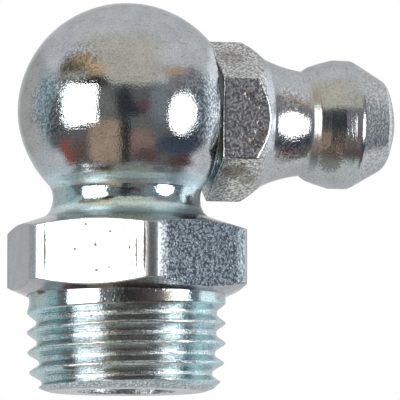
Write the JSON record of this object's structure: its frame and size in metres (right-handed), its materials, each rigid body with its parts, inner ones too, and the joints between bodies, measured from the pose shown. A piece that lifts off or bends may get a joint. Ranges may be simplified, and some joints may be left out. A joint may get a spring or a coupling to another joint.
{
  "type": "grease nipple",
  "caption": "Right-angle grease nipple: threaded shank, hexagon and ball body, with a screwed-in conical head and a sprung check ball in its tip.",
  "frame": {"origin": "on the thread's axis, in the plane where the hexagon seats on the housing", "axes": "+Z along the thread's axis from the thread to the ball, +X along the head to its tip, +Y completes the right-handed set"},
  "size_m": [0.0191, 0.0126, 0.0195],
  "materials": {
    "body_zinc": "bright zinc plating, blue passivated",
    "head_zinc": "bright zinc plating, blue passivated",
    "ball_steel": "polished bearing steel",
    "spring_steel": "drawn spring wire"
  },
  "bodies": {
    "nipple": {"elbow_body": "body_zinc", "nipple_head": "head_zinc", "valve_spring": "spring_steel"},
    "ball": {"check_ball": "ball_steel"}
  },
  "joints": [
    {"name": "ball_slide", "type": "slide", "parent": "nipple", "child": "ball", "axis": [-1, 0, 0], "range_m": [0, 0.006], "stiffness_N_per_m": 200, "springref_m": -0.0015, "deforming": ["valve_spring"]}
  ]
}
